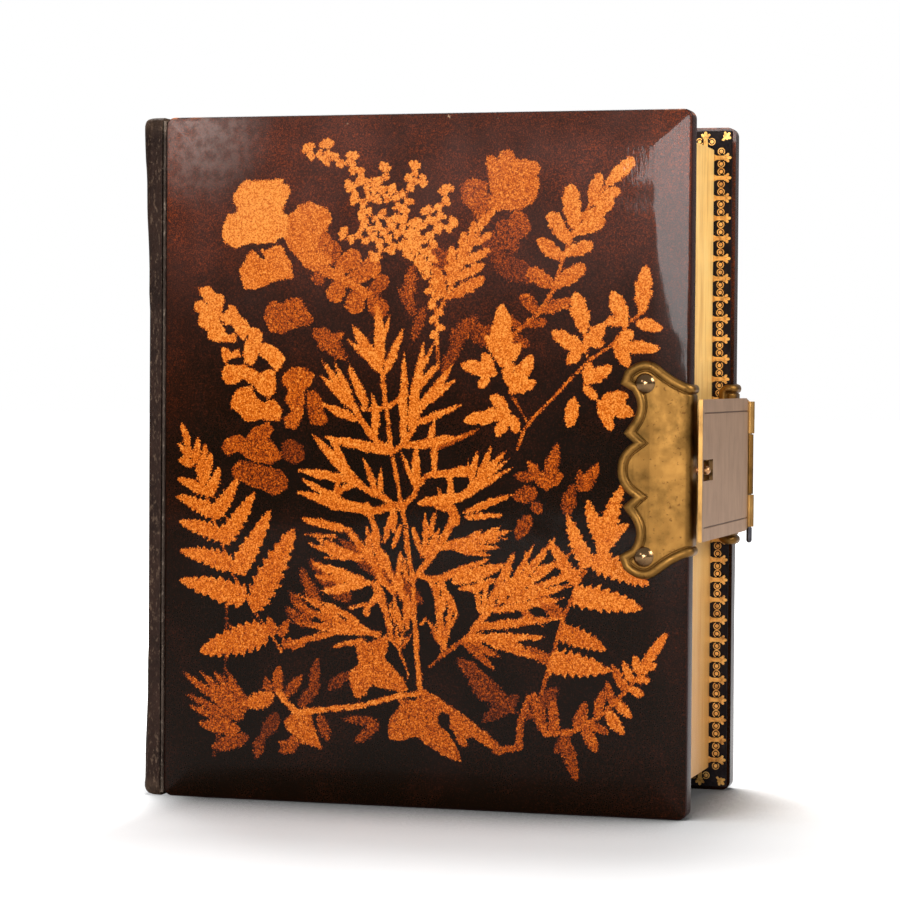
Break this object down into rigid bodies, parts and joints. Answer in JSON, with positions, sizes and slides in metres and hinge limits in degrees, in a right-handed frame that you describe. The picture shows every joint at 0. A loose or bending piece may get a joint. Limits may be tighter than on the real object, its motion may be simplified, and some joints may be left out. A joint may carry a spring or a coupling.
{
  "type": "clasped photograph album",
  "caption": "Small Victorian photograph album with fern-pattern wooden covers, leather spine, gilt-edged window leaves and a brass hasp clasp.",
  "frame": {"origin": "bottom centre of the overall box, on the surface that the album stands on", "axes": "+Z from tail to head, +X from spine to fore-edge, -Y out of the front cover"},
  "size_m": [0.1308, 0.0612, 0.155],
  "materials": {
    "board_wood": "dark stained wood with fern spatter work under amber varnish, glossy",
    "turn_in_leather": "black grained leather with a gilt tooled border",
    "pastedown_paper": "glazed cream paper, toned with age",
    "spine_leather": "dark brown leather, rubbed at head and tail",
    "spine_card": "grey pulp card",
    "lining_cloth": "open woven cotton lining",
    "guard_card": "card stubs with cut edges",
    "headband_cloth": "striped cotton band",
    "leaf_card": "card divider with linen strip, gilt edges",
    "leaf_mat": "cream glazed card mat with gilt edges and lined window",
    "clasp_brass": "stamped brass, lightly tarnished, bright on the rim",
    "hasp_brass": "flat brass with dull tan tarnish and bright edges",
    "rivet_brass": "darkened domed brass",
    "stud_brass": "turned brass, polished by use",
    "pin_steel": "dark drawn steel wire"
  },
  "bodies": {
    "case": {"back_board": "board_wood", "back_turn_in": "turn_in_leather", "back_pastedown": "pastedown_paper", "spine_leather": "spine_leather", "spine_stiffener": "spine_card", "spine_lining": "lining_cloth", "leaf_guards": "guard_card", "headband_head": "headband_cloth", "headband_tail": "headband_cloth", "clasp_back_plate": "clasp_brass", "clasp_back_rivets": "rivet_brass", "hinge_pin": "pin_steel"},
    "front_cover": {"front_board": "board_wood", "front_turn_in": "turn_in_leather", "front_pastedown": "pastedown_paper", "clasp_front_plate": "clasp_brass", "clasp_front_rivets": "rivet_brass", "catch_stud": "stud_brass"},
    "hasp": {"hasp_plate": "hasp_brass"},
    "leaf_01": {"leaf_01_core": "leaf_card", "leaf_01_mats": "leaf_mat"},
    "leaf_02": {"leaf_02_core": "leaf_card", "leaf_02_mats": "leaf_mat"},
    "leaf_03": {"leaf_03_core": "leaf_card", "leaf_03_mats": "leaf_mat"},
    "leaf_04": {"leaf_04_core": "leaf_card", "leaf_04_mats": "leaf_mat"},
    "leaf_05": {"leaf_05_core": "leaf_card", "leaf_05_mats": "leaf_mat"},
    "leaf_06": {"leaf_06_core": "leaf_card", "leaf_06_mats": "leaf_mat"},
    "leaf_07": {"leaf_07_core": "leaf_card", "leaf_07_mats": "leaf_mat"},
    "leaf_08": {"leaf_08_core": "leaf_card", "leaf_08_mats": "leaf_mat"},
    "leaf_09": {"leaf_09_core": "leaf_card", "leaf_09_mats": "leaf_mat"},
    "leaf_10": {"leaf_10_core": "leaf_card", "leaf_10_mats": "leaf_mat"},
    "leaf_11": {"leaf_11_core": "leaf_card", "leaf_11_mats": "leaf_mat"},
    "leaf_12": {"leaf_12_core": "leaf_card", "leaf_12_mats": "leaf_mat"},
    "leaf_13": {"leaf_13_core": "leaf_card", "leaf_13_mats": "leaf_mat"},
    "leaf_14": {"leaf_14_core": "leaf_card", "leaf_14_mats": "leaf_mat"}
  },
  "joints": [
    {"name": "front_cover_hinge", "type": "hinge", "parent": "case", "child": "front_cover", "pos_m": [-0.06123, -0.02875, 0.0775], "axis": [0, 0, -1], "range_deg": [0, 180]},
    {"name": "hasp_hinge", "type": "hinge", "parent": "case", "child": "hasp", "pos_m": [0.06438, 0.0276, 0.0764], "axis": [0, 0, 1], "range_deg": [0, 180]},
    {"name": "leaf_01_hinge", "type": "hinge", "parent": "case", "child": "leaf_01", "pos_m": [-0.05353, -0.0208, 0.0775], "axis": [0, 0, -1], "range_deg": [0, 66]},
    {"name": "leaf_02_hinge", "type": "hinge", "parent": "case", "child": "leaf_02", "pos_m": [-0.05353, -0.0176, 0.0775], "axis": [0, 0, -1], "range_deg": [0, 55.57]},
    {"name": "leaf_03_hinge", "type": "hinge", "parent": "case", "child": "leaf_03", "pos_m": [-0.05353, -0.0144, 0.0775], "axis": [0, 0, -1], "range_deg": [0, 46.22]},
    {"name": "leaf_04_hinge", "type": "hinge", "parent": "case", "child": "leaf_04", "pos_m": [-0.05353, -0.0112, 0.0775], "axis": [0, 0, -1], "range_deg": [0, 37.91]},
    {"name": "leaf_05_hinge", "type": "hinge", "parent": "case", "child": "leaf_05", "pos_m": [-0.05353, -0.008, 0.0775], "axis": [0, 0, -1], "range_deg": [0, 30.61]},
    {"name": "leaf_06_hinge", "type": "hinge", "parent": "case", "child": "leaf_06", "pos_m": [-0.05353, -0.0048, 0.0775], "axis": [0, 0, -1], "range_deg": [0, 24.3]},
    {"name": "leaf_07_hinge", "type": "hinge", "parent": "case", "child": "leaf_07", "pos_m": [-0.05353, -0.0016, 0.0775], "axis": [0, 0, -1], "range_deg": [0, 18.93]},
    {"name": "leaf_08_hinge", "type": "hinge", "parent": "case", "child": "leaf_08", "pos_m": [-0.05353, 0.0016, 0.0775], "axis": [0, 0, -1], "range_deg": [0, 14.47]},
    {"name": "leaf_09_hinge", "type": "hinge", "parent": "case", "child": "leaf_09", "pos_m": [-0.05353, 0.0048, 0.0775], "axis": [0, 0, -1], "range_deg": [0, 10.89]},
    {"name": "leaf_10_hinge", "type": "hinge", "parent": "case", "child": "leaf_10", "pos_m": [-0.05353, 0.008, 0.0775], "axis": [0, 0, -1], "range_deg": [0, 8.12]},
    {"name": "leaf_11_hinge", "type": "hinge", "parent": "case", "child": "leaf_11", "pos_m": [-0.05353, 0.0112, 0.0775], "axis": [0, 0, -1], "range_deg": [0, 6.13]},
    {"name": "leaf_12_hinge", "type": "hinge", "parent": "case", "child": "leaf_12", "pos_m": [-0.05353, 0.0144, 0.0775], "axis": [0, 0, -1], "range_deg": [0, 4.84]},
    {"name": "leaf_13_hinge", "type": "hinge", "parent": "case", "child": "leaf_13", "pos_m": [-0.05353, 0.0176, 0.0775], "axis": [0, 0, -1], "range_deg": [0, 4.17]},
    {"name": "leaf_14_hinge", "type": "hinge", "parent": "case", "child": "leaf_14", "pos_m": [-0.05353, 0.0208, 0.0775], "axis": [0, 0, -1], "range_deg": [0, 4]}
  ],
  "couplings": [
    {"joint": "hasp_hinge", "follows": "front_cover_hinge", "ratio": 1},
    {"joint": "leaf_01_hinge", "follows": "front_cover_hinge", "ratio": 0.36667},
    {"joint": "leaf_02_hinge", "follows": "front_cover_hinge", "ratio": 0.30872},
    {"joint": "leaf_03_hinge", "follows": "front_cover_hinge", "ratio": 0.25678},
    {"joint": "leaf_04_hinge", "follows": "front_cover_hinge", "ratio": 0.21061},
    {"joint": "leaf_05_hinge", "follows": "front_cover_hinge", "ratio": 0.17006},
    {"joint": "leaf_06_hinge", "follows": "front_cover_hinge", "ratio": 0.135},
    {"joint": "leaf_07_hinge", "follows": "front_cover_hinge", "ratio": 0.10517},
    {"joint": "leaf_08_hinge", "follows": "front_cover_hinge", "ratio": 0.080388},
    {"joint": "leaf_09_hinge", "follows": "front_cover_hinge", "ratio": 0.060499},
    {"joint": "leaf_10_hinge", "follows": "front_cover_hinge", "ratio": 0.04511},
    {"joint": "leaf_11_hinge", "follows": "front_cover_hinge", "ratio": 0.034055},
    {"joint": "leaf_12_hinge", "follows": "front_cover_hinge", "ratio": 0.026888},
    {"joint": "leaf_13_hinge", "follows": "front_cover_hinge", "ratio": 0.023166},
    {"joint": "leaf_14_hinge", "follows": "front_cover_hinge", "ratio": 0.022221}
  ]
}
